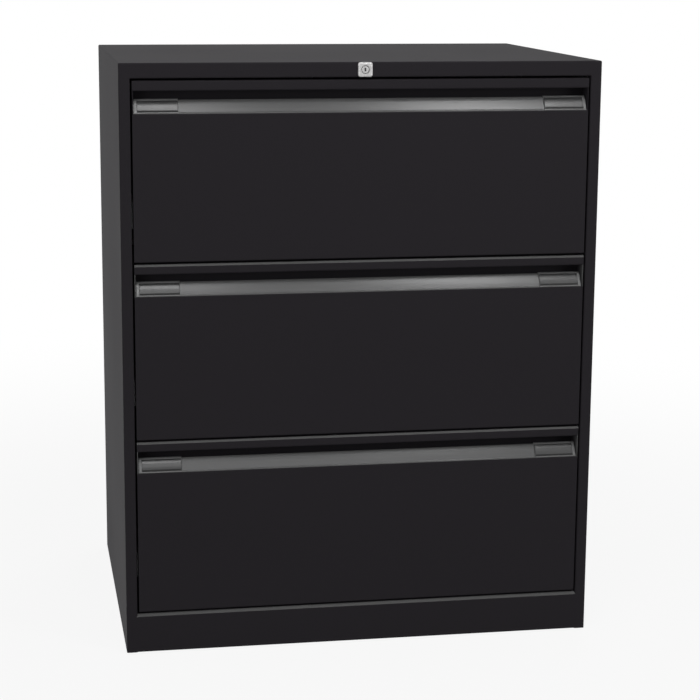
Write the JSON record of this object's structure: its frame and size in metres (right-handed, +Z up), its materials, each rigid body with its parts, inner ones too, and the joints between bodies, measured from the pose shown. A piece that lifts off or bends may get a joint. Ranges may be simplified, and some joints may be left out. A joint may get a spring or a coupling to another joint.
{
  "type": "lateral filing cabinet",
  "caption": "Black steel lateral filing cabinet with full-width drawers on telescopic slides, curved metal pull strips with label holders, a plinth and a central lock in the top fascia.",
  "frame": {"origin": "centre of the bounding box on the floor", "axes": "+Z up, the drawers open towards -Y, +X to the right of a person facing the front"},
  "size_m": [0.82, 0.626, 1.016],
  "materials": {
    "black_coat": "black satin powder coat with a very fine texture",
    "pull_satin": "satin grey, drawn along its length",
    "label_clear": "smoky clear moulded plastic",
    "lock_nickel": "satin nickel plate",
    "zinc_steel": "bright zinc plate",
    "foot_plastic": "moulded black nylon"
  },
  "bodies": {
    "cabinet": {"top_panel": "black_coat", "left_side_panel": "black_coat", "right_side_panel": "black_coat", "back_panel": "black_coat", "base_panel": "black_coat", "plinth": "black_coat", "left_slide_frame": "zinc_steel", "right_slide_frame": "zinc_steel", "front_left_foot": "foot_plastic", "front_right_foot": "foot_plastic", "rear_left_foot": "foot_plastic", "rear_right_foot": "foot_plastic", "lock_housing": "lock_nickel", "rod_bracket": "zinc_steel", "lock_guide": "zinc_steel", "slide_outer_left_1": "zinc_steel", "slide_outer_right_1": "zinc_steel", "slide_outer_left_2": "zinc_steel", "slide_outer_right_2": "zinc_steel", "slide_outer_left_3": "zinc_steel", "slide_outer_right_3": "zinc_steel"},
    "lock_core": {"lock_plug": "lock_nickel", "lock_rod": "zinc_steel"},
    "lock_lift": {"lock_bar": "zinc_steel"},
    "drawer_1": {"drawer_front_1": "black_coat", "pull_strip_1": "pull_satin", "label_holder_left_1": "label_clear", "label_holder_right_1": "label_clear", "drawer_tray_1": "black_coat", "tray_floor_1": "black_coat", "filing_frame_1": "zinc_steel", "lock_catch_1": "zinc_steel", "slide_inner_left_1": "zinc_steel", "slide_inner_right_1": "zinc_steel"},
    "slides_1": {"slide_middle_left_1": "zinc_steel", "slide_middle_right_1": "zinc_steel"},
    "drawer_2": {"drawer_front_2": "black_coat", "pull_strip_2": "pull_satin", "label_holder_left_2": "label_clear", "label_holder_right_2": "label_clear", "drawer_tray_2": "black_coat", "tray_floor_2": "black_coat", "filing_frame_2": "zinc_steel", "lock_catch_2": "zinc_steel", "slide_inner_left_2": "zinc_steel", "slide_inner_right_2": "zinc_steel"},
    "slides_2": {"slide_middle_left_2": "zinc_steel", "slide_middle_right_2": "zinc_steel"},
    "drawer_3": {"drawer_front_3": "black_coat", "pull_strip_3": "pull_satin", "label_holder_left_3": "label_clear", "label_holder_right_3": "label_clear", "drawer_tray_3": "black_coat", "tray_floor_3": "black_coat", "filing_frame_3": "zinc_steel", "lock_catch_3": "zinc_steel", "slide_inner_left_3": "zinc_steel", "slide_inner_right_3": "zinc_steel"},
    "slides_3": {"slide_middle_left_3": "zinc_steel", "slide_middle_right_3": "zinc_steel"}
  },
  "joints": [
    {"name": "drawer_1_slide", "type": "slide", "parent": "cabinet", "child": "drawer_1", "axis": [0, -1, 0], "range_m": [0, 0.5]},
    {"name": "slides_1_travel", "type": "slide", "parent": "cabinet", "child": "slides_1", "axis": [0, -1, 0], "range_m": [0, 0.25]},
    {"name": "drawer_2_slide", "type": "slide", "parent": "cabinet", "child": "drawer_2", "axis": [0, -1, 0], "range_m": [0, 0.5]},
    {"name": "slides_2_travel", "type": "slide", "parent": "cabinet", "child": "slides_2", "axis": [0, -1, 0], "range_m": [0, 0.25]},
    {"name": "drawer_3_slide", "type": "slide", "parent": "cabinet", "child": "drawer_3", "axis": [0, -1, 0], "range_m": [0, 0.5]},
    {"name": "slides_3_travel", "type": "slide", "parent": "cabinet", "child": "slides_3", "axis": [0, -1, 0], "range_m": [0, 0.25]},
    {"name": "lock_turn", "type": "hinge", "parent": "cabinet", "child": "lock_core", "pos_m": [0, -0.309, 1.00325], "axis": [0, 1, 0], "range_deg": [0, 90]},
    {"name": "lock_bar_lift", "type": "slide", "parent": "cabinet", "child": "lock_lift", "axis": [0, 0, 1], "range_m": [0, 0.0113]}
  ],
  "couplings": [
    {"joint": "slides_1_travel", "follows": "drawer_1_slide", "ratio": 0.5},
    {"joint": "slides_2_travel", "follows": "drawer_2_slide", "ratio": 0.5},
    {"joint": "slides_3_travel", "follows": "drawer_3_slide", "ratio": 0.5},
    {"joint": "lock_turn", "follows": "lock_bar_lift", "rad_per_m": 138.84}
  ]
}
